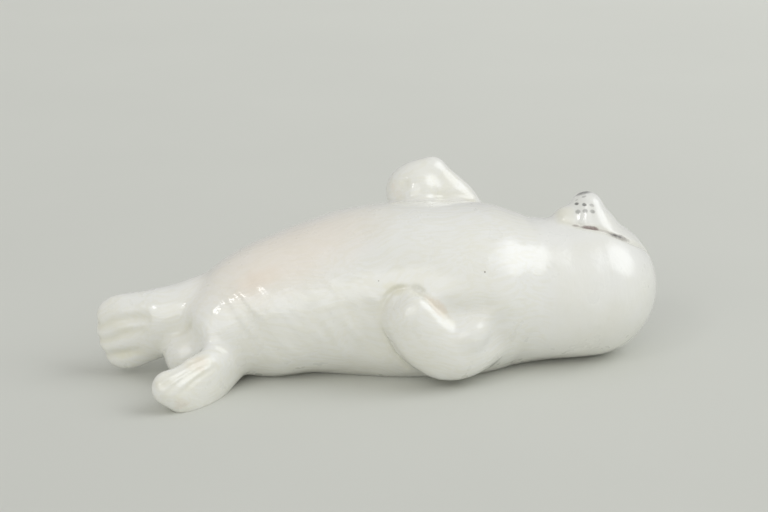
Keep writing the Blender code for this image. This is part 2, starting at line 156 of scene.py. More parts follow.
# Lines pressed into the clay: half width, depth, the bend they follow, then the points they run through
CREASES = [
    # round the face, from the chin past the mouth corner and the eye to the crown
    (0.75, 0.75, BODY_BEND, [
        (32.5, -2.6, 41.4), (35.4, -4.3, 40.8), (38.5, -6.5, 40.2), (42.7, -8.4, 39.6),
        (47.4, -9.8, 37.7), (51.4, -10.0, 35.7), (55.3, -8.4, 33.8), (58.4, -5.6, 31.0),
    ]),
    (0.75, 0.75, BODY_BEND, [
        (32.5, 2.6, 41.4), (35.4, 4.9, 40.8), (38.5, 7.1, 40.2), (42.7, 9.0, 39.6), (47.4, 10.2, 37.7),
        (51.4, 10.4, 35.7), (55.3, 8.6, 33.8), (58.4, 5.6, 31.0),
    ]),
    # between the near flipper's upper edge and the flank
    (1.1, 1.3, BODY_BEND, [
        (-20.0, -26.0, 34.2), (-17.5, -26.2, 33.4), (-15.7, -26.8, 31.6), (-13.9, -27.4, 29.3),
        (-11.7, -27.8, 26.8), (-9.9, -28.3, 25.1), (-8.6, -28.8, 23.8),
    ]),
    # round the near hand
    (0.8, 0.8, BODY_BEND, [
        (-19.0, -26.0, 34.4), (-22.0, -25.7, 34.5), (-24.6, -25.7, 33.8), (-26.9, -26.1, 31.5),
        (-28.4, -26.5, 27.3), (-27.9, -27.1, 22.4), (-26.7, -27.0, 19.6), (-24.0, -25.4, 15.4),
        (-21.3, -23.9, 12.2), (-18.5, -21.0, 8.6),
    ]),
    # foot of the raised flipper
    (1.2, 0.5, BODY_BEND, [
        (-10.1, 14.9, 47.4), (-3.5, 15.3, 46.4), (1.5, 14.8, 47.2), (8.0, 14.6, 47.2),
        (12.5, 14.9, 45.2),
    ]),
    # curl of the raised flipper's finger
    (1.3, 0.6, BODY_BEND, [
        (-10.4, 18.4, 51.0), (-8.0, 16.4, 51.4), (-5.8, 16.3, 50.3), (-3.5, 16.4, 49.6),
        (-0.8, 15.6, 48.8),
    ]),
    # between the rump and the far hind flipper, round the tail
    (0.9, 0.8, BODY_BEND, [
        (-75.2, -6.2, 29.0), (-77.1, -8.3, 24.4), (-78.8, -7.5, 22.5), (-80.3, -6.4, 20.8),
        (-82.3, -4.0, 18.6), (-84.0, -4.6, 15.0),
    ]),
    # top of the near hind flipper's root
    (1.1, 0.5, NEAR_LEG_BEND, [
        (-81.2, -10.4, 16.5), (-78.7, -11.3, 17.4), (-76.3, -12.6, 18.2), (-73.2, -13.6, 18.5),
        (-69.9, -14.4, 17.5),
    ]),
    # toes of the far hind flipper
    (1.6, 0.85, AS_DRAWN, [
        (-84.5, 12.9, 19.0), (-87.9, 14.8, 18.6), (-92.7, 18.4, 17.1), (-95.7, 20.7, 15.4),
        (-97.5, 22.3, 15.1), (-95.3, 26.2, 16.8), (-89.0, 27.3, 17.5),
    ]),
    (1.4, 0.60, AS_DRAWN, [
        (-86.0, 13.2, 15.8), (-91.2, 16.1, 13.9), (-95.6, 19.4, 11.4), (-97.6, 22.9, 11.0),
        (-95.3, 26.6, 12.2), (-89.0, 27.3, 13.9),
    ]),
    (1.5, 0.80, AS_DRAWN, [
        (-86.8, 14.6, 9.1), (-91.3, 17.1, 8.0), (-94.5, 19.8, 6.9), (-97.0, 23.0, 6.8),
        (-94.9, 26.1, 7.8), (-89.0, 26.5, 8.3),
    ]),
    # toes of the near hind flipper
    (0.65, 0.42, AS_DRAWN, [
        (-72.6, -6.0, 13.2), (-79.5, -9.7, 12.4), (-85.6, -12.3, 10.8), (-87.9, -12.6, 9.5),
    ]),
    (0.65, 0.45, AS_DRAWN, [
        (-72.4, -7.0, 12.2), (-78.9, -10.7, 11.5), (-84.5, -13.3, 9.9), (-87.4, -13.8, 8.4),
    ]),
    (0.65, 0.42, AS_DRAWN, [
        (-71.7, -7.0, 11.4), (-77.6, -11.0, 10.6), (-82.6, -13.7, 9.0), (-85.6, -14.6, 7.0),
    ]),
    (0.65, 0.30, AS_DRAWN, [
        (-69.9, -6.5, 10.1), (-75.6, -10.7, 9.1), (-79.5, -13.1, 7.5), (-82.6, -14.5, 5.8),
    ]),
]

# Broad dips, drawn like the creases but fading out on every side
DIPS = [
    # flank behind the near hand
    (4.5, 0.8, BODY_BEND, [(-32.0, -26.5, 27.0), (-31.0, -27.0, 18.0)]),
    # flank above the near shoulder
    (3.4, 0.9, BODY_BEND, [(-8.0, -27.5, 27.0), (-3.0, -28.3, 26.4), (1.5, -28.0, 26.8)]),
    # chest in front of the near shoulder
    (5.5, 1.2, BODY_BEND, [(5.5, -27.5, 20.5), (6.5, -27.0, 15.0)]),
]

# Drain hole in the back: X and Y of its middle, and the heights of the cutter's ends
VENT_PLACE = (-23.5, 13.0)
VENT_HEIGHTS = (-8.0, 8.0)

# The block that grinds the back flat: half its side, and its underside
GROUND_BLOCK = 160.0
GROUND_DEPTH = -20.0

# Rounds of smoothing after each skin, and the detail of the hollow's skin in millimetres
CLAY_SMOOTHING = 14
SKIN_SMOOTHING = 14
HOLLOW_SMOOTHING = 4
HOLLOW_DETAIL = 1.6

# Points between two stations of a bend and of a pressed line
BEND_STEPS = 12
LINE_STEPS = 6
# A pressed line is felt out to this many half widths, and reaches its depth after this share of its length
LINE_REACH = 4
LINE_TAPER = 0.2

# Across the figure and along it
ACROSS = (0.0, 1.0, 0.0)
ALONG = (1.0, 0.0, 0.0)

# Fur strokes in the clay: the way they run, share of the full depth, then the middle, half sizes and fade of
# the place that they cover, in millimetres
FUR = [
    # flank, belly and near arm
    ((0.60, 0.0, -0.80), 1.00, (-44.0, -4.0, 21.0), (20.0, 14.0, 10.0), 1.7),
    ((0.93, 0.0, 0.36), 0.45, (-24.0, 2.0, 40.0), (24.0, 16.0, 8.0), 1.7),
    ((0.45, 0.0, 0.90), 0.35, (-14.0, -20.0, 17.0), (8.0, 6.0, 10.0), 1.6),
]
# A stroke sinks by this share of its depth and its rims rise by the other
STROKE_SWING = (-0.7, 0.3)
# The relief fades out between these heights, so that the ground back stays flat
RELIEF_HEIGHTS = (0.4, 2.5)
# How far the straw colour of a crease reaches to each side of it: partly glaze that pools, partly painted crease
# shade
POOL_AND_SHADE_WIDTH = 2.2

# Noises in the glaze and the paint: size of their features in millimetres, detail, roughness and seed
NOISES = {
    "sway": (16.0, 1.0, 0.50, 17.0),
    "cloud": (14.0, 3.0, 0.55, 3.0),
    "sponge": (5.0, 3.0, 0.60, 5.0),
    "waver": (0.9, 2.0, 0.50, 9.0),
    "load": (0.8, 2.0, 0.60, 11.0),
    "peel": (2.6, 2.0, 0.50, 1.0),
    "ripple": (0.9, 2.0, 0.50, 2.0),
    "wiped": (9.0, 3.0, 0.60, 13.0),
}
# How far the sway moves the hair strokes, the sponge a tint's edge and the waver a brush mark's, in millimetres
SWAY_REACH = 14.0
SPONGE_REACH = 6.0
WAVER_REACH = 0.45
# Hair strokes, in millimetres
HAIR_LENGTH = 10.0
HAIR_WIDTH = 1.1
# How far a brush mark's spot reaches into the surface, and the depth of the glaze's relief
MARK_DEPTH = 2.0
PEEL_DEPTH = 0.12
# Weights of the ripples and the hair strokes in that relief, and of the hair strokes on the head
RIPPLE_WEIGHT = 0.25
HAIR_WEIGHT = 1.7
HEAD_HAIR_WEIGHT = 0.7

# The hair strokes turn from the body's way to the head's between these X
HEAD_HAIR = (18.0, 30.0)
# The fired body starts to show at the first height above the table and shows fully at the second
BARE_HEIGHTS = (0.25, 0.10)

# Shares of a colour laid over the white; those of the creases and fur strokes are partly glaze that pools and
# partly painted shade, that of the hair strokes is painted shade
CLOUD_SHARE = 0.55
POOL_AND_SHADE_SHARE = 0.28
STROKE_SHARE = 0.30
HAIR_SHARE = 0.18
PINHOLE_SHARE = 0.75

# Part of a spot, from its rim inwards, over which it fades
TINT_FADE = 0.80
MARK_FADE = 0.55
PINHOLE_FADE = 0.6

# Roughness of the glaze's underside from place to place, and what the bare body adds
ROUGHNESS = (0.26, 0.34)
BARE_ROUGHNESS = 0.35

# Soft tints on the finished figure: colour, strength, centre, way and half sizes in millimetres. The blush lies
# under the glaze; the tan is painted shade, and the straw in creases and toe grooves is partly glaze that pools
# and partly painted shade
TINTS = [
    ("blush", 0.46, (-45.0, 8.0, 37.5), (1.0, 0.0, 0.42), (40.0, 26.0, 14.0)),
    ("blush", 0.50, (-57.0, 1.5, 31.5), (1.0, 0.0, 0.36), (11.0, 5.0, 6.0)),
    # painted shade in the crease between the near flipper and the flank
    ("tan", 0.28, (-10.5, -17.8, 25.4), (0.66, 0.0, -0.75), (7.5, 3.0, 1.9)),
    # straw along the crease at the top of the near hand: partly glaze that pools, partly painted shade
    ("straw", 0.50, (-21.0, -12.6, 29.6), (1.0, 0.0, 0.0), (5.5, 3.0, 2.2)),
    ("blush", 0.60, (-9.6, 24.0, 47.3), (0.0, 0.0, 1.0), (4.5, 4.0, 3.0)),
    # painted shade between the tail and the near hind flipper's root
    ("tan", 0.22, (-76.0, -8.0, 12.0), (1.0, 0.0, 0.2), (6.0, 4.0, 2.6)),
    # painted shade at the near hind flipper's foot, by the table
    ("tan", 0.25, (-80.5, -15.0, 3.0), (1.0, 0.0, 0.0), (5.0, 3.0, 2.4)),
    ("straw", 0.40, (34.8, 2.0, 42.5), (1.0, 0.0, 0.0), (3.6, 7.0, 5.0)),
    # straw in the far hind flipper's toe grooves: partly glaze that pools, partly painted shade
    ("straw", 0.30, (-91.0, 17.0, 15.0), (1.0, 0.0, 0.0), (7.0, 4.0, 2.2)),
    ("straw", 0.35, (-90.5, 17.0, 8.0), (1.0, 0.0, 0.0), (7.0, 4.0, 2.4)),
]

# Brush marks on the near side of the face, each mirrored to the far side: colour, density, centre, way the
# brush moved, half length and half width in millimetres
BRUSH_MARKS = [
    ("grey", 0.50, (40.6, 0.5, 46.9), (1.0, -0.3, 0.0), 1.00, 0.46),
    ("grey", 0.28, (38.6, 1.5, 46.1), (1.0, -0.5, 0.0), 0.80, 0.42),
    ("grey", 1.00, (38.5, 0.6, 45.1), (1.0, -0.7, -0.1), 0.95, 0.62),
    ("grey", 0.95, (40.4, -1.0, 45.0), (1.0, -0.4, -0.4), 0.95, 0.64),
    ("grey", 0.45, (41.8, -1.7, 44.9), (1.0, -0.2, -0.6), 0.95, 0.56),
    ("grey", 0.62, (38.4, -0.8, 43.0), (1.0, -0.7, 0.0), 1.00, 0.82),
    ("grey", 0.62, (40.2, -1.9, 43.4), (1.0, -0.3, -0.2), 1.00, 0.82),
    ("grey", 0.62, (41.8, -2.6, 43.2), (1.0, -0.2, -0.4), 1.00, 0.78),
    ("mauve", 0.92, (40.6, -5.0, 39.1), (5.7, -3.2, -0.4), 3.70, 0.74),
    ("mauve", 0.50, (37.2, -2.6, 39.7), (5.7, -3.2, 0.0), 1.50, 0.42),
    ("mauve", 0.30, (44.0, -6.2, 38.3), (5.9, -1.6, -1.6), 2.60, 0.52),
    ("umber", 0.80, (48.3, -7.3, 36.5), (7.6, -1.0, -3.3), 4.80, 0.98),
    ("ink", 0.80, (47.4, -7.2, 36.9), (7.6, -1.0, -3.0), 2.70, 0.44),
]
NOSE = ("ink", 0.92, (41.4, 4.1, 47.8), (1.0, 0.0, 0.0), 3.40, 4.20)

# The face's middle plane lies at this Y at the eyes and at this Y at the tip of the muzzle, over these heights
FACE_MIDDLE = (2.7, 4.5)
FACE_HEIGHTS = (38.0, 47.0)

# Dark pinholes in the glaze: centre and half size in millimetres
PINHOLES = [
    ((4.0, -17.7, 33.8), 0.34),
    ((9.0, 8.0, 47.0), 0.30),
    ((-24.0, -9.0, 31.0), 0.22),
]

# Table: side in metres, and where along which way its colour runs from one share to another, as painted light
# that makes it lighter further back
TABLE_SIZE = 12.0
TABLE_WAY = (1.6, 1.0, 0.0)
TABLE_REACH = (-0.4, 1.2)
TABLE_PAINTED_LIGHT_SHARES = (0.961, 1.209)
TABLE_UNEVEN = (0.975, 1.025)

# Light boxes: way from the pup, size in metres, share of the size that fades out, and tone
LIGHT_DISTANCE = 5.0
LIGHTS = {
    "window": ((0.68, -0.29, 0.67), 5.5, 0.25, (0.94, 0.965, 1.0, 1.0)),
    "small_lamp": ((-0.62, -0.42, 0.66), 1.0, 0.25, (1.0, 1.0, 1.0, 1.0)),
    "pale_wall": ((-0.50, -0.76, 0.46), 6.0, 0.30, (1.0, 1.0, 1.0, 1.0)),
}
LIT_MIDDLE = (0.0, 0.0, 30.0)
ROOM_TONE = (1.0, 1.0, 0.985, 1.0)

# Camera: the place under the trunk, in millimetres, that the picture holds this many pixels to the left of its
# middle and this many below it, the picture's width in pixels and the sensor's in millimetres
CAMERA_MARK = (-24.0, 0.0, 0.0)
MARK_LEFT = 14.0
MARK_BELOW = 118.5
PICTURE_WIDTH = 768.0
SENSOR_WIDTH = 36.0


def srgb(code):
    """The linear colour of an sRGB hex value."""
    parts = [int(code[i:i + 2], 16) / 255.0 for i in (1, 3, 5)]
    return tuple(p / 12.92 if p <= 0.04045 else ((p + 0.055) / 1.055) ** 2.4 for p in parts)


class SealFigure(bpy.types.PropertyGroup):
    """Sizes and colours of the porcelain figure."""

    wall: FloatProperty(name="Wall", description="Thickness of the cast shell", default=3.8 * MM, unit="LENGTH")
    vent_radius: FloatProperty(
        name="Vent radius", description="Radius of the drain hole in the back", default=2.2 * MM, unit="LENGTH"
    )
    clay_detail: FloatProperty(
        name="Clay detail", description="Size of the finest form kept in the clay", default=0.9 * MM,
        unit="LENGTH",
    )
    skin_detail: FloatProperty(
        name="Skin detail", description="Spacing of the finished skin's points", default=0.63 * MM, unit="LENGTH"
    )
    stroke_spacing: FloatProperty(
        name="Stroke spacing", description="Distance between the fur strokes", default=2.3 * MM, unit="LENGTH"
    )
    stroke_length: FloatProperty(
        name="Stroke length", description="Length of one fur stroke", default=11.0 * MM, unit="LENGTH"
    )
    stroke_depth: FloatProperty(
        name="Stroke depth", description="Depth of the fur strokes", default=0.22 * MM, unit="LENGTH"
    )
    wave_size: FloatProperty(
        name="Hand wave size", description="Width of the uneven places left by the hand", default=8.0 * MM,
        unit="LENGTH",
    )
    wave_depth: FloatProperty(
        name="Hand wave depth", description="Depth of the uneven places left by the hand", default=0.16 * MM,
        unit="LENGTH",
    )
    seed: IntProperty(name="Seed", description="Picks another set of strokes", default=7)
    porcelain: FloatVectorProperty(
        name="Porcelain", description="White of the body under clear glaze", default=srgb("#EFEFEA"),
        subtype="COLOR",
    )
    # Cream: in cloudy patches, and in the sunk fur strokes, where it is partly thicker glaze and partly painted
    # shade
    cream: FloatVectorProperty(
        name="Cream", description="Warmer white where the glaze is thicker", default=srgb("#ECEBE1"),
        subtype="COLOR",
    )
    blush: FloatVectorProperty(
        name="Blush", description="Pink tint of the lower belly", default=srgb("#EFE1D0"), subtype="COLOR"
    )
    # Tan: painted shade in the deep creases and where parts meet
    tan: FloatVectorProperty(
        name="Tan", description="Tan tint in the deep creases", default=srgb("#CFB184"), subtype="COLOR"
    )
    # Straw: partly glaze that pools and partly painted shade in the creases and toe grooves, painted shade in the
    # hair strokes, and a yellowish tint on the chin
    straw: FloatVectorProperty(
        name="Straw", description="Yellowish glaze in creases and along rims", default=srgb("#E2DEC4"),
        subtype="COLOR",
    )
    grey: FloatVectorProperty(
        name="Whisker grey", description="Brushed whisker spots", default=srgb("#6F6F6C"), subtype="COLOR"
    )
    mauve: FloatVectorProperty(
        name="Mouth mauve", description="Brushed corner of the mouth", default=srgb("#6A4B49"), subtype="COLOR"
    )
    umber: FloatVectorProperty(
        name="Eye umber", description="Brushed closed eye", default=srgb("#6C6252"), subtype="COLOR"
    )
    ink: FloatVectorProperty(
        name="Ink", description="Brushed nose and lash line", default=srgb("#35322D"), subtype="COLOR"
    )


class SealStage(bpy.types.PropertyGroup):
    """Table, light and camera."""

    table: FloatVectorProperty(
        name="Table", description="Colour of the table", default=srgb("#D3D4CD"), subtype="COLOR"
    )
    surround: FloatProperty(name="Surround", description="Strength of the even light of the room", default=0.54)
    window_power: FloatProperty(
        name="Window", description="Power of the large soft light", default=208.0, unit="POWER"
    )
    wall_power: FloatProperty(
        name="Pale wall", description="Power of the light that the wall behind the camera throws back",
        default=138.0, unit="POWER",
    )
    lamp_power: FloatProperty(name="Lamp", description="Power of the small light", default=24.0, unit="POWER")
    azimuth: FloatProperty(
        name="Azimuth", description="Turn of the camera round the pup", default=math.radians(-17.0),
        subtype="ANGLE",
    )
    elevation: FloatProperty(
        name="Elevation", description="Height of the camera", default=math.radians(18.0), subtype="ANGLE"
    )
    focal_length: FloatProperty(name="Focal length", description="Lens in millimetres", default=100.0)
    pixel_scale: FloatProperty(
        name="Pixels per millimetre", description="Scale of the picture at the pup", default=3.5
    )


def add(tree, kind, inputs=(), **settings):
    """Adds a node, sets its properties, and sets or links its inputs by name or place.

    A node given as an input stands for its first output in use.
    """
    made = tree.nodes.new(kind)
    for key, value in settings.items():
        setattr(made, key, value)
    for key, value in dict(inputs).items():
        if isinstance(value, bpy.types.Node):
            value = next(out for out in value.outputs if out.enabled)
        if isinstance(value, bpy.types.NodeSocket):
            tree.links.new(value, made.inputs[key])
        else:
            made.inputs[key].default_value = value
    return made


def new_object(name, data):
    """An object of the scene that holds the data."""
    made = bpy.data.objects.new(name, data)
    bpy.context.scene.collection.objects.link(made)
    return made


def curve_through(stations, steps):
    """Rows on a smooth curve that passes through every station."""
    rows = [np.array(station, float) for station in stations]
    rows = [2 * rows[0] - rows[1], *rows, 2 * rows[-1] - rows[-2]]
    made = []
    for before, start, end, after in zip(rows, rows[1:], rows[2:], rows[3:]):
        for step in range(steps):
            t = step / steps
            straight = end - before
            sag = 2 * before - 5 * start + 4 * end - after
            twist = 3 * start - before - 3 * end + after
            made.append(start + 0.5 * (straight * t + sag * t**2 + twist * t**3))
    made.append(rows[-2])
    return made


def bent(points, row):
    """Drawn points moved along BEND_WAY by the distance that the row gives for their place along the figure."""
    stations = np.array(curve_through(row, BEND_STEPS))
    moved = np.interp(points[:, 0], stations[:, 0], stations[:, 1])
    return points + moved[:, None] * np.array(BEND_WAY)


def bend(shape, row):
    """A drawn form's points and faces, bent by the row."""
    verts, faces = shape
    return [Vector(p) * MM for p in bent(np.array(verts) / MM, row)], faces


def loft(sections, broad_start, broad_end, inset=0.0, sides=32, steps=5, cap_rings=5):
    """Points and faces of a closed skin over elliptical sections, rounded off at both ends."""
    rows = curve_through(sections, steps)
    centres = [Vector(row[:3]) for row in rows]
    rings = []
    for i, row in enumerate(rows):
        along = (centres[min(i + 1, len(rows) - 1)] - centres[max(i - 1, 0)]).normalized()
        wide = Vector(broad_start).lerp(Vector(broad_end), i / (len(rows) - 1))
        wide = (wide - along * wide.dot(along)).normalized()
        rings.append((centres[i], along, wide, row[3] - inset, row[4] - inset))

    def rounded_end(ring, way):
        centre, along, wide, half_width, half_thickness = ring
        reach = min(half_width, half_thickness)
        made = []
        for step in range(1, cap_rings):
            turn = math.pi / 2 * step / cap_rings
            moved = centre + along * way * reach * math.sin(turn)
            made.append((moved, along, wide, half_width * math.cos(turn), half_thickness * math.cos(turn)))
        return made, centre + along * way * reach

    first, first_pole = rounded_end(rings[0], -1)
    last, last_pole = rounded_end(rings[-1], 1)
    rings = first[::-1] + rings + last
    verts = []
    for centre, along, wide, half_width, half_thickness in rings:
        thick = along.cross(wide)
        for side in range(sides):
            turn = 2 * math.pi * side / sides
            verts.append(centre + wide * half_width * math.cos(turn) + thick * half_thickness * math.sin(turn))
    faces = []
    for ring in range(len(rings) - 1):
        low = ring * sides
        for side in range(sides):
            after = (side + 1) % sides
            faces.append((low + side, low + after, low + sides + after, low + sides + side))
    top = (len(rings) - 1) * sides
    for side in range(sides):
        after = (side + 1) % sides
        faces.append((len(verts), after, side))
        faces.append((len(verts) + 1, top + side, top + after))
    verts += [first_pole, last_pole]
    return [v * MM for v in verts], faces


def ball(centre, radii, segments=48, rings=24):
    """Points and faces of an ellipsoid."""
    bpy.ops.mesh.primitive_uv_sphere_add(segments=segments, ring_count=rings, radius=1.0)
    made = bpy.context.object
    verts = [Vector(centre[i] + v.co[i] * radii[i] for i in range(3)) * MM for v in made.data.vertices]
    faces = [tuple(face.vertices) for face in made.data.polygons]
    bpy.data.objects.remove(made, do_unlink=True)
    return verts, faces


def evaluated(made):
    """The plain mesh that the object's modifiers make; the modifiers go."""
    graph = bpy.context.evaluated_depsgraph_get()
    mesh = bpy.data.meshes.new_from_object(made.evaluated_get(graph))
    made.modifiers.clear()
    made.data = mesh
    return made


def one_skin(name, forms, detail, smoothing):
    """A single skin round all the forms, with every corner between them softened."""
    verts = []
    faces = []
    for form_verts, form_faces in forms:
        base = len(verts)
        verts += form_verts
        faces += [[base + i for i in face] for face in form_faces]
    mesh = bpy.data.meshes.new(name)
    mesh.from_pydata(verts, [], faces)
    made = new_object(name, mesh)
    skin = made.modifiers.new("skin", "REMESH")
    skin.mode = "VOXEL"
    skin.voxel_size = detail
    soften = made.modifiers.new("soften", "SMOOTH")
    soften.factor = 0.5
    soften.iterations = smoothing
    return evaluated(made)


def shape_of(made):
    """Points and faces of an object's mesh; the object goes."""
    verts = [v.co.copy() for v in made.data.vertices]
    faces = [tuple(face.vertices) for face in made.data.polygons]
    bpy.data.objects.remove(made, do_unlink=True)
    return verts, faces


def press_lines(made):
    """Press every line of CREASES and DIPS into the skin along its normals; a crease runs out at its ends."""
    mesh = made.data
    count = len(mesh.vertices)
    points = np.empty(count * 3)
    normals = np.empty(count * 3)
    mesh.vertices.foreach_get("co", points)
    mesh.vertex_normals.foreach_get("vector", normals)
    points = points.reshape(-1, 3)
    normals = normals.reshape(-1, 3)
    drop = np.zeros(count)
    for crease in CREASES + DIPS:
        half_width, depth, row, stations = crease
        line = bent(np.array(curve_through(stations, LINE_STEPS)), row) * MM
        reach = half_width * MM
        low = line.min(axis=0) - LINE_REACH * reach
        high = line.max(axis=0) + LINE_REACH * reach
        near = np.flatnonzero(np.all((points > low) & (points < high), axis=1))
        closest = np.full(len(near), np.inf)
        run = np.zeros(len(near))
        for i in range(len(line) - 1):
            span = line[i + 1] - line[i]
            t = np.clip((points[near] - line[i]) @ span / (span @ span), 0.0, 1.0)
            distance = np.linalg.norm(points[near] - line[i] - t[:, None] * span, axis=1)
            closer = distance < closest
            closest[closer] = distance[closer]
            run[closer] = (i + t[closer]) / (len(line) - 1)
        taper = 1.0
        if crease in CREASES:
            taper = np.clip(np.minimum(run, 1.0 - run) / LINE_TAPER, 0.0, 1.0) ** 0.5
        pressed = depth * MM * taper * np.exp(-((closest / reach) ** 2))
        drop[near] = np.maximum(drop[near], pressed)
    points -= normals * drop[:, None]
    mesh.vertices.foreach_set("co", points.ravel())
    mesh.update()


def cut(made, verts, faces):
    """Take a closed shape away from the object."""
    mesh = bpy.data.meshes.new("cutter")
    mesh.from_pydata(verts, [], faces)
    cutter = new_object("cutter", mesh)
    step = made.modifiers.new("cut", "BOOLEAN")
    step.object = cutter
    step.operation = "DIFFERENCE"
    step.solver = "EXACT"
    evaluated(made)
    bpy.data.objects.remove(cutter, do_unlink=True)


def ground_block(top):
    """Points and faces of the block that takes away all that lies below a height."""
    sides = (-GROUND_BLOCK, GROUND_BLOCK)
    corners = [(x, y, z) for x in sides for y in sides for z in (GROUND_DEPTH, top)]
    faces = [(0, 1, 3, 2), (4, 6, 7, 5), (0, 4, 5, 1), (2, 3, 7, 6), (0, 2, 6, 4), (1, 5, 7, 3)]
    return [Vector(c) * MM for c in corners], faces


def clay_forms():
    """Every form of the pup, bent; each loft's two ways say where its broad side lies at its ends."""
    upright = (0.0, 0.1, 1.0)
    leaning = (0.0, 0.2, 1.0)
    body = [
        loft(TRUNK, ACROSS, ACROSS, sides=56),
        ball(HEAD_CENTRE, HEAD_RADII),
        loft(MUZZLE, ACROSS, ACROSS),
        loft(BRIDGE, ACROSS, ACROSS),
        loft(CHIN, ACROSS, ACROSS),
        loft(NEAR_ARM, (0.3, 0.0, 1.0), (0.9, 0.0, 0.5)),
        loft(SHOULDER, leaning, leaning),
        loft(FAR_ARM, ALONG, (1.0, 0.1, 0.0)),
        loft(FAR_PALM, ALONG, ALONG),
        loft(FAR_FINGER, ACROSS, ACROSS),
        ball(*FAR_KNOB),
    ]
    far_leg = loft(FAR_LEG, upright, upright)
    near_leg = loft(NEAR_LEG, leaning, (0.2, 0.1, 1.0))
    return [*(bend(form, BODY_BEND) for form in body), bend(far_leg, FAR_LEG_BEND), bend(near_leg, NEAR_LEG_BEND)]


def crease_lines():
    """The pressed lines as bare edges, for the glaze that pools along them."""
    verts = []
    edges = []
    for _, _, row, stations in CREASES:
        base = len(verts)
        line = bent(np.array(curve_through(stations, LINE_STEPS)), row)
        verts += [Vector(p) * MM for p in line]
        edges += [(base + i, base + i + 1) for i in range(len(line) - 1)]
    mesh = bpy.data.meshes.new("crease_lines")
    mesh.from_pydata(verts, edges, [])
    return new_object("crease_lines", mesh)


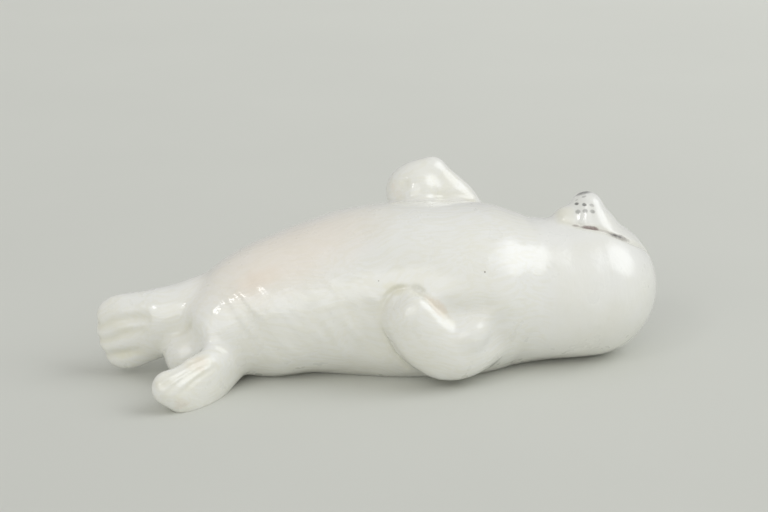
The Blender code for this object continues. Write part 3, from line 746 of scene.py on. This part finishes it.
def relief_tree():
    """Fur strokes on the flank, belly and near arm, the hand's unevenness, and where glaze pools and crease shade
    is painted.
    """
    tree = bpy.data.node_groups.new("Hand relief", "GeometryNodeTree")
    face = tree.interface
    face.new_socket("Geometry", in_out="INPUT", socket_type="NodeSocketGeometry")
    for name in ("Stroke spacing", "Stroke length", "Stroke depth", "Wave size", "Wave depth", "Pool width"):
        face.new_socket(name, in_out="INPUT", socket_type="NodeSocketFloat")
    face.new_socket("Seed", in_out="INPUT", socket_type="NodeSocketFloat")
    face.new_socket("Crease lines", in_out="INPUT", socket_type="NodeSocketObject")
    face.new_socket("Glaze", in_out="INPUT", socket_type="NodeSocketMaterial")
    face.new_socket("Geometry", in_out="OUTPUT", socket_type="NodeSocketGeometry")
    given = add(tree, "NodeGroupInput").outputs
    place = add(tree, "GeometryNodeInputPosition")

    def region(centre, half_sizes, soft):
        """1 inside an ellipsoid, fading to 0 outside it."""
        away = add(tree, "ShaderNodeVectorMath", {0: place, 1: Vector(centre) * MM}, operation="SUBTRACT")
        scaled = add(tree, "ShaderNodeVectorMath", {0: away, 1: Vector(half_sizes) * MM}, operation="DIVIDE")
        far = add(tree, "ShaderNodeVectorMath", {0: scaled}, operation="LENGTH")
        return add(tree, "ShaderNodeMapRange", {"Value": far, "From Min": 1.0, "From Max": soft, "To Min": 1.0,
                                                "To Max": 0.0}, interpolation_type="SMOOTHSTEP")

    def strokes(way):
        """Noise drawn out along a way."""
        ahead = Vector(way).normalized()
        side = ahead.cross(Vector(ACROSS)).normalized()
        over = ahead.cross(side)
        parts = []
        for axis, size in ((ahead, "Stroke length"), (side, "Stroke spacing"), (over, "Stroke length")):
            run = add(tree, "ShaderNodeVectorMath", {0: place, 1: axis}, operation="DOT_PRODUCT")
            parts.append(add(tree, "ShaderNodeMath", {0: run, 1: given[size]}, operation="DIVIDE"))
        where = add(tree, "ShaderNodeCombineXYZ", enumerate(parts))
        noise = add(tree, "ShaderNodeTexNoise", {"Vector": where, "W": given["Seed"], "Scale": 0.8, "Detail": 1.0,
                                                 "Roughness": 0.4}, noise_dimensions="4D")
        return add(tree, "ShaderNodeMapRange", {"Value": noise, "From Min": 0.35, "From Max": 0.65,
                                                "To Min": STROKE_SWING[0], "To Max": STROKE_SWING[1]},
                   interpolation_type="SMOOTHSTEP")

    fur = 0.0
    for way, share, centre, half_sizes, soft in FUR:
        kept = {0: strokes(way), 1: region(centre, half_sizes, soft)}
        patch = add(tree, "ShaderNodeMath", kept, operation="MULTIPLY")
        patch = add(tree, "ShaderNodeMath", {0: patch, 1: share}, operation="MULTIPLY")
        fur = add(tree, "ShaderNodeMath", {0: fur, 1: patch}, operation="ADD")
    carved = add(tree, "ShaderNodeMath", {0: fur, 1: given["Stroke depth"]}, operation="MULTIPLY")

    per_wave = add(tree, "ShaderNodeMath", {0: 1.0, 1: given["Wave size"]}, operation="DIVIDE")
    wave_place = add(tree, "ShaderNodeVectorMath", {0: place, "Scale": per_wave}, operation="SCALE")
    wave = add(tree, "ShaderNodeTexNoise", {"Vector": wave_place, "W": given["Seed"], "Scale": 1.0, "Detail": 1.0,
                                            "Roughness": 0.45}, noise_dimensions="4D")
    # Noise swings by half to each side of its middle, so it is doubled to reach the full depth
    centred = add(tree, "ShaderNodeMath", {0: wave, 1: 0.5}, operation="SUBTRACT")
    swell = add(tree, "ShaderNodeMath", {0: centred, 1: given["Wave depth"]}, operation="MULTIPLY")
    swell = add(tree, "ShaderNodeMath", {0: swell, 1: 2.0}, operation="MULTIPLY")
    height = add(tree, "ShaderNodeMath", {0: carved, 1: swell}, operation="ADD")

    above = add(tree, "ShaderNodeSeparateXYZ", {0: place}).outputs["Z"]
    low, high = RELIEF_HEIGHTS
    clear = add(tree, "ShaderNodeMapRange", {"Value": above, "From Min": low * MM, "From Max": high * MM},
                interpolation_type="SMOOTHSTEP")
    kept = add(tree, "ShaderNodeMath", {0: height, 1: clear}, operation="MULTIPLY")
    normal = add(tree, "GeometryNodeInputNormal")
    offset = add(tree, "ShaderNodeVectorMath", {0: normal, "Scale": kept}, operation="SCALE")
    skin = add(tree, "GeometryNodeSetPosition", {"Geometry": given["Geometry"], "Offset": offset})

    # Straw colour along the creases: partly glaze that pools, partly painted crease shade
    lines = add(tree, "GeometryNodeObjectInfo", {"Object": given["Crease lines"]}).outputs["Geometry"]
    near = add(tree, "GeometryNodeProximity", {"Geometry": lines}, target_element="EDGES").outputs["Distance"]
    crease_pool_and_shade = add(tree, "ShaderNodeMapRange", {"Value": near, "From Min": 0.0, "From Max": given["Pool width"],
                                            "To Min": 1.0, "To Max": 0.0}, interpolation_type="SMOOTHSTEP")
    for name, value in (("pooled", crease_pool_and_shade), ("strokes", fur)):
        skin = add(tree, "GeometryNodeStoreNamedAttribute", {"Geometry": skin, "Name": name, "Value": value},
                   data_type="FLOAT", domain="POINT")
    real = add(tree, "GeometryNodeRealizeInstances", {"Geometry": skin})
    glazed = add(tree, "GeometryNodeSetMaterial", {"Geometry": real, "Material": given["Glaze"]})
    smooth = add(tree, "GeometryNodeSetShadeSmooth", {"Geometry": glazed})
    add(tree, "NodeGroupOutput", {"Geometry": smooth})
    return tree


def run_tree(made, tree, values):
    """Run a geometry tree on the object with its inputs set, and keep the plain mesh."""
    step = made.modifiers.new(tree.name, "NODES")
    step.node_group = tree
    sockets = {s.name: s.identifier for s in tree.interface.items_tree if s.in_out == "INPUT"}
    for name, value in values.items():
        step[sockets[name]] = value
    return evaluated(made)


def glaze_material(sizes, body):
    """Glazed porcelain: white clay under a thick clear glaze, so soft white with hard, wet highlights.

    The blush tints lie under the glaze and the brush marks on it. The creases and sunk fur strokes take straw and
    cream, partly glaze that pools and partly painted shade; the hair strokes take painted shade in straw, and the
    tan tints are painted shade in deep creases and where parts meet. The fired body shows matt on the ground
    back.
    """
    made = bpy.data.materials.new("glazed_porcelain")
    made.use_nodes = True
    tree = made.node_tree
    tree.nodes.clear()
    place = add(tree, "ShaderNodeTexCoord").outputs["Object"]

    noises = {}
    for name, (size, detail, roughness, seed) in NOISES.items():
        noises[name] = add(tree, "ShaderNodeTexNoise", {
            "Vector": place, "W": seed, "Scale": 1.0 / (size * MM), "Detail": detail, "Roughness": roughness,
        }, noise_dimensions="4D")

    def spot(vector, centre, axes, half_sizes, soft):
        """1 inside an ellipsoid turned to its axes, fading to 0 at its edge."""
        turn = Matrix(axes).transposed().to_euler()
        local = add(tree, "ShaderNodeMapping", {"Vector": vector, "Location": Vector(centre) * MM,
                                                "Rotation": turn, "Scale": Vector(half_sizes) * MM},
                    vector_type="TEXTURE")
        far = add(tree, "ShaderNodeVectorMath", {0: local}, operation="LENGTH")
        return add(tree, "ShaderNodeMapRange", {"Value": far, "From Min": 1.0, "From Max": 1.0 - soft},
                   interpolation_type="SMOOTHSTEP")

    def on_skin(centre):
        """The nearest place on the figure's skin, in millimetres, and the way that it faces."""
        hit, touch, facing, _ = body.closest_point_on_mesh(Vector(centre) * MM)
        if not hit:
            raise RuntimeError("a painted mark misses the figure")
        return touch / MM, facing

    def strayed(name, reach):
        """The place, pushed about by a noise's colour."""
        lift = add(tree, "ShaderNodeVectorMath", {0: noises[name].outputs["Color"], 1: (0.5, 0.5, 0.5)},
                   operation="SUBTRACT")
        push = add(tree, "ShaderNodeVectorMath", {0: lift, "Scale": reach * MM}, operation="SCALE")
        return add(tree, "ShaderNodeVectorMath", {0: place, 1: push}, operation="ADD")

    # Fine hair strokes 10 mm long and 1 mm apart: along the body, and from muzzle to crown on the head
    swayed = strayed("sway", SWAY_REACH)
    along_x = add(tree, "ShaderNodeSeparateXYZ", {0: place}).outputs["X"]
    on_head = add(tree, "ShaderNodeMapRange", {"Value": along_x, "From Min": HEAD_HAIR[0] * MM,
                                               "From Max": HEAD_HAIR[1] * MM}, interpolation_type="SMOOTHSTEP")
    on_body = add(tree, "ShaderNodeMath", {0: 1.0, 1: on_head}, operation="SUBTRACT")
    on_head = add(tree, "ShaderNodeMath", {0: on_head, 1: HEAD_HAIR_WEIGHT}, operation="MULTIPLY")
    hairs = 0.0
    for spacing, where in (
        ((HAIR_LENGTH, HAIR_WIDTH, HAIR_WIDTH), on_body), ((HAIR_WIDTH, HAIR_WIDTH, HAIR_LENGTH), on_head),
    ):
        drawn = add(tree, "ShaderNodeMapping", {"Vector": swayed, "Scale": [1.0 / (s * MM) for s in spacing]})
        hair = add(tree, "ShaderNodeTexNoise", {"Vector": drawn, "Scale": 1.0, "Detail": 2.0, "Roughness": 0.5})
        hair = add(tree, "ShaderNodeMath", {0: hair, 1: where}, operation="MULTIPLY")
        hairs = add(tree, "ShaderNodeMath", {0: hairs, 1: hair}, operation="ADD")

    # White clay: two close whites in cloudy patches 14 mm across; straw-coloured along the creases and cream in
    # the sunk fur strokes, partly glaze that pools and partly painted shade; faintly straw-coloured in the hair
    # strokes as painted shade of their relief
    cloud = add(tree, "ShaderNodeMapRange", {"Value": noises["cloud"], "From Min": 0.38, "From Max": 0.66},
                interpolation_type="SMOOTHSTEP")
    pooled = add(tree, "ShaderNodeAttribute", attribute_name="pooled").outputs["Fac"]
    brushed = add(tree, "ShaderNodeAttribute", attribute_name="strokes").outputs["Fac"]
    # Sunk fur strokes: cream, partly thicker glaze and partly painted shade
    sunk = add(tree, "ShaderNodeMapRange", {"Value": brushed, "From Min": 0.0, "From Max": STROKE_SWING[0]},
               interpolation_type="SMOOTHSTEP")
    # Hair strokes: faintly straw-coloured, painted shade of their relief
    combed = add(tree, "ShaderNodeMapRange", {"Value": hairs, "From Min": 0.42, "From Max": 0.62},
                 interpolation_type="SMOOTHSTEP")
    layers = [
        (cloud, CLOUD_SHARE, "cream"), (pooled, POOL_AND_SHADE_SHARE, "straw"), (sunk, STROKE_SHARE, "cream"),
        (combed, HAIR_SHARE, "straw"),
    ]

    # Tints, painted shade among them: edges broken up by 5 mm noise, so they look sponged on
    loose = strayed("sponge", SPONGE_REACH)
    for name, strength, centre, way, half_sizes in TINTS:
        ahead = Vector(way).normalized()
        side = Vector(ACROSS)
        side = (side - ahead * side.dot(ahead)).normalized()
        tint = spot(loose, centre, (ahead, side, ahead.cross(side)), half_sizes, TINT_FADE)
        layers.append((tint, strength, name))

    # Brush marks: a loaded brush 1.5 mm wide, so edges waver by 0.1 mm and the paint is uneven. The near
    # side's marks are folded over the face's middle plane onto the far side
    shaken = strayed("waver", WAVER_REACH)
    split = add(tree, "ShaderNodeSeparateXYZ", {0: shaken}).outputs
    middle = add(tree, "ShaderNodeMapRange", {"Value": split["Z"], "From Min": FACE_HEIGHTS[0] * MM,
                                              "From Max": FACE_HEIGHTS[1] * MM, "To Min": FACE_MIDDLE[0] * MM,
                                              "To Max": FACE_MIDDLE[1] * MM}, interpolation_type="SMOOTHSTEP")
    aside = add(tree, "ShaderNodeMath", {0: split["Y"], 1: middle}, operation="SUBTRACT")
    aside = add(tree, "ShaderNodeMath", {0: aside}, operation="ABSOLUTE")
    near_side = add(tree, "ShaderNodeMath", {0: middle, 1: aside}, operation="SUBTRACT")
    folded = add(tree, "ShaderNodeCombineXYZ", {"X": split["X"], "Y": near_side, "Z": split["Z"]})
    load = add(tree, "ShaderNodeMapRange", {"Value": noises["load"], "From Min": 0.25, "From Max": 0.75,
                                            "To Min": 0.72, "To Max": 1.0}, interpolation_type="SMOOTHSTEP")
    for mark in [*BRUSH_MARKS, NOSE]:
        name, density, centre, way, half_length, half_width = mark
        touch, facing = on_skin(centre)
        ahead = Vector(way)
        ahead = (ahead - facing * ahead.dot(facing)).normalized()
        axes = (ahead, facing.cross(ahead), facing)
        canvas = shaken if mark is NOSE else folded
        paint = spot(canvas, touch, axes, (half_length, half_width, MARK_DEPTH), MARK_FADE)
        paint = add(tree, "ShaderNodeMath", {0: paint, 1: density}, operation="MULTIPLY")
        layers.append((paint, load, name))

    unturned = (ALONG, ACROSS, (0.0, 0.0, 1.0))
    for centre, size in PINHOLES:
        pit = spot(place, on_skin(centre)[0], unturned, (size, size, size), PINHOLE_FADE)
        layers.append((pit, PINHOLE_SHARE, "umber"))

    shade = (*sizes.porcelain, 1.0)
    for amount, share, name in layers:
        part = add(tree, "ShaderNodeMath", {0: amount, 1: share}, operation="MULTIPLY")
        shade = add(tree, "ShaderNodeMix", {0: part, 6: shade, 7: (*getattr(sizes, name), 1.0)}, data_type="RGBA")

    # Glaze: clear, with a slight orange-peel 2.6 mm across, finer ripples and the hair strokes showing through
    height = noises["peel"]
    for part, weight in ((noises["ripple"], RIPPLE_WEIGHT), (hairs, HAIR_WEIGHT)):
        part = add(tree, "ShaderNodeMath", {0: part, 1: weight}, operation="MULTIPLY")
        height = add(tree, "ShaderNodeMath", {0: height, 1: part}, operation="ADD")
    bump = add(tree, "ShaderNodeBump", {"Height": height, "Strength": 0.35, "Distance": PEEL_DEPTH * MM})
    ground = add(tree, "ShaderNodeSeparateXYZ", {0: place}).outputs["Z"]
    bare = add(tree, "ShaderNodeMapRange", {"Value": ground, "From Min": BARE_HEIGHTS[0] * MM,
                                            "From Max": BARE_HEIGHTS[1] * MM}, interpolation_type="SMOOTHSTEP")
    coated = add(tree, "ShaderNodeMath", {0: 1.0, 1: bare}, operation="SUBTRACT")
    wiped = add(tree, "ShaderNodeMapRange", {"Value": noises["wiped"], "From Min": 0.3, "From Max": 0.7,
                                             "To Min": ROUGHNESS[0], "To Max": ROUGHNESS[1]},
                interpolation_type="SMOOTHSTEP")
    coarse = add(tree, "ShaderNodeMath", {0: bare, 1: BARE_ROUGHNESS}, operation="MULTIPLY")
    rough = add(tree, "ShaderNodeMath", {0: wiped, 1: coarse}, operation="ADD")
    shader = add(tree, "ShaderNodeBsdfPrincipled", {
        "Base Color": shade, "Roughness": rough, "Metallic": 0.0, "IOR": 1.5, "Specular IOR Level": 0.4,
        "Coat Weight": coated, "Coat Roughness": 0.045, "Coat IOR": 1.5, "Normal": bump, "Coat Normal": bump,
    })
    add(tree, "ShaderNodeOutputMaterial", {"Surface": shader})
    return made


def table_material(stage):
    """Studio paper: pale grey and matt, faintly uneven, and painted lighter further back as painted light."""
    made = bpy.data.materials.new("studio_paper")
    made.use_nodes = True
    tree = made.node_tree
    tree.nodes.clear()
    place = add(tree, "ShaderNodeTexCoord").outputs["Object"]
    cloud = add(tree, "ShaderNodeTexNoise", {"Vector": place, "Scale": 9.0, "Detail": 3.0, "Roughness": 0.5})
    back = add(tree, "ShaderNodeVectorMath", {0: place, 1: TABLE_WAY}, operation="DOT_PRODUCT")
    near, far = TABLE_REACH
    reach = add(tree, "ShaderNodeMapRange", {"Value": back, "From Min": near, "From Max": far})
    # Painted light: the paper's colour grows lighter further back
    front, behind = ((*[c * share for c in stage.table], 1.0) for share in TABLE_PAINTED_LIGHT_SHARES)
    painted_light_sheet = add(tree, "ShaderNodeMix", {0: reach, 6: front, 7: behind}, data_type="RGBA")
    low, high = TABLE_UNEVEN
    patch = add(tree, "ShaderNodeMapRange", {"Value": cloud, "To Min": low, "To Max": high})
    shade = add(tree, "ShaderNodeVectorMath", {0: painted_light_sheet, "Scale": patch}, operation="SCALE")
    shader = add(tree, "ShaderNodeBsdfPrincipled", {"Base Color": shade, "Roughness": 0.85,
                                                    "Specular IOR Level": 0.25})
    add(tree, "ShaderNodeOutputMaterial", {"Surface": shader})
    return made


class OBJECT_OT_seal_body(bpy.types.Operator):
    """Cast the seal pup, press its creases, and paint and glaze it"""

    bl_idname = "object.seal_body"
    bl_label = "Make the seal pup"

    def execute(self, context):
        sizes = context.scene.seal_figure
        blended = shape_of(one_skin("clay", clay_forms(), sizes.clay_detail, CLAY_SMOOTHING))
        body = one_skin("seal_porcelain", [blended], sizes.skin_detail, SKIN_SMOOTHING)
        press_lines(body)
        cut(body, *ground_block(0.0))
        inset = sizes.wall / MM
        head_hollow = bend(ball(HEAD_CENTRE, [r - inset for r in HEAD_RADII]), BODY_BEND)
        # The two sections at the tail's end stay solid
        trunk_hollow = bend(loft(TRUNK[2:], ACROSS, ACROSS, inset=inset, sides=40), BODY_BEND)
        hollow = one_skin("hollow", [trunk_hollow, head_hollow], HOLLOW_DETAIL * MM, HOLLOW_SMOOTHING)
        cut(hollow, *ground_block(inset))
        cut(body, *shape_of(hollow))
        vent = sizes.vent_radius / MM
        ends = [(*VENT_PLACE, height, vent, vent) for height in VENT_HEIGHTS]
        cut(body, *loft(ends, ALONG, ALONG, sides=40))
        lines = crease_lines()
        glaze = glaze_material(sizes, body)
        run_tree(body, relief_tree(), {
            "Stroke spacing": sizes.stroke_spacing, "Stroke length": sizes.stroke_length,
            "Stroke depth": sizes.stroke_depth, "Wave size": sizes.wave_size, "Wave depth": sizes.wave_depth,
            "Pool width": POOL_AND_SHADE_WIDTH * MM, "Seed": float(sizes.seed), "Crease lines": lines, "Glaze": glaze,
        })
        bpy.data.objects.remove(lines, do_unlink=True)
        if not body.data.materials or not len(body.data.polygons):
            raise RuntimeError("the figure came out empty")
        body.data.name = "seal_porcelain"
        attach(body, "root")
        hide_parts("seal")
        return {"FINISHED"}


class OBJECT_OT_seal_stage(bpy.types.Operator):
    """Lay the table, set the lights and place the camera"""

    bl_idname = "object.seal_stage"
    bl_label = "Set the stage"

    def execute(self, context):
        scene = context.scene
        stage = scene.seal_stage
        bpy.ops.mesh.primitive_plane_add(size=TABLE_SIZE)
        table = context.object
        table.name = "table_top"
        table.data.name = "table_top"
        table.data.materials.append(table_material(stage))

        room = bpy.data.worlds.new("pale_room")
        room.use_nodes = True
        background = room.node_tree.nodes["Background"]
        background.inputs["Color"].default_value = ROOM_TONE
        background.inputs["Strength"].default_value = stage.surround
        scene.world = room

        middle = Vector(LIT_MIDDLE) * MM

        def light_box(name, power):
            """A cloth-covered light box, brightest in the middle, fading out over its edge."""
            way, size, edge, tone = LIGHTS[name]
            light = bpy.data.lights.new(name, "AREA")
            light.size = size
            light.energy = power
            light.use_nodes = True
            cloth = light.node_tree
            cloth.nodes.clear()
            on_cloth = add(cloth, "ShaderNodeNewGeometry").outputs["Parametric"]
            aside = add(cloth, "ShaderNodeVectorMath", {0: on_cloth, 1: (0.5, 0.5, 0.0)}, operation="DISTANCE")
            glow = add(cloth, "ShaderNodeMapRange", {"Value": aside, "From Min": 0.5, "From Max": 0.5 - edge},
                       interpolation_type="SMOOTHSTEP")
            shine = add(cloth, "ShaderNodeEmission", {"Color": tone, "Strength": glow})
            add(cloth, "ShaderNodeOutputLight", {"Surface": shine})
            made = new_object(name, light)
            made.location = middle + Vector(way).normalized() * LIGHT_DISTANCE
            made.rotation_euler = (middle - made.location).to_track_quat("-Z", "Y").to_euler()

        light_box("window", stage.window_power)
        light_box("small_lamp", stage.lamp_power)
        light_box("pale_wall", stage.wall_power)

        turn, rise = stage.azimuth, stage.elevation
        back = Vector((math.sin(turn) * math.cos(rise), -math.cos(turn) * math.cos(rise), math.sin(rise)))
        right = Vector((math.cos(turn), math.sin(turn), 0.0))
        up = right.cross(-back)
        per_mm = stage.pixel_scale
        aim = Vector(CAMERA_MARK) + right * (MARK_LEFT / per_mm) + up * (MARK_BELOW / per_mm)
        lens = bpy.data.cameras.new("camera")
        lens.lens = stage.focal_length
        lens.sensor_width = SENSOR_WIDTH
        lens.clip_start = 0.02
        lens.clip_end = 20.0
        camera = new_object("camera", lens)
        distance = PICTURE_WIDTH / per_mm * stage.focal_length / SENSOR_WIDTH
        camera.location = (aim + back * distance) * MM
        camera.rotation_euler = (-back).to_track_quat("-Z", "Y").to_euler()
        scene.camera = camera
        scene.view_settings.view_transform = "Standard"
        return {"FINISHED"}


class VIEW3D_PT_seal_pup(bpy.types.Panel):
    """Sizes, colours and steps of the porcelain seal pup"""

    bl_idname = "VIEW3D_PT_seal_pup"
    bl_label = "Seal pup"
    bl_space_type = "VIEW_3D"
    bl_region_type = "UI"
    bl_category = "Seal pup"

    def draw(self, context):
        for group in (context.scene.seal_figure, context.scene.seal_stage):
            column = self.layout.column()
            for name in group.bl_rna.properties.keys():
                if name not in {"rna_type", "name"}:
                    column.prop(group, name)
        self.layout.operator("object.seal_body")
        self.layout.operator("object.seal_stage")


CLASSES = (SealFigure, SealStage, OBJECT_OT_seal_body, OBJECT_OT_seal_stage, VIEW3D_PT_seal_pup)


def register():
    for each in CLASSES:
        bpy.utils.register_class(each)
    bpy.types.Scene.seal_figure = PointerProperty(type=SealFigure)
    bpy.types.Scene.seal_stage = PointerProperty(type=SealStage)


def unregister():
    del bpy.types.Scene.seal_stage
    del bpy.types.Scene.seal_figure
    for each in reversed(CLASSES):
        bpy.utils.unregister_class(each)


def main():
    register()
    bpy.ops.object.seal_body()
    bpy.ops.object.seal_stage()


if __name__ == "__main__":
    main()
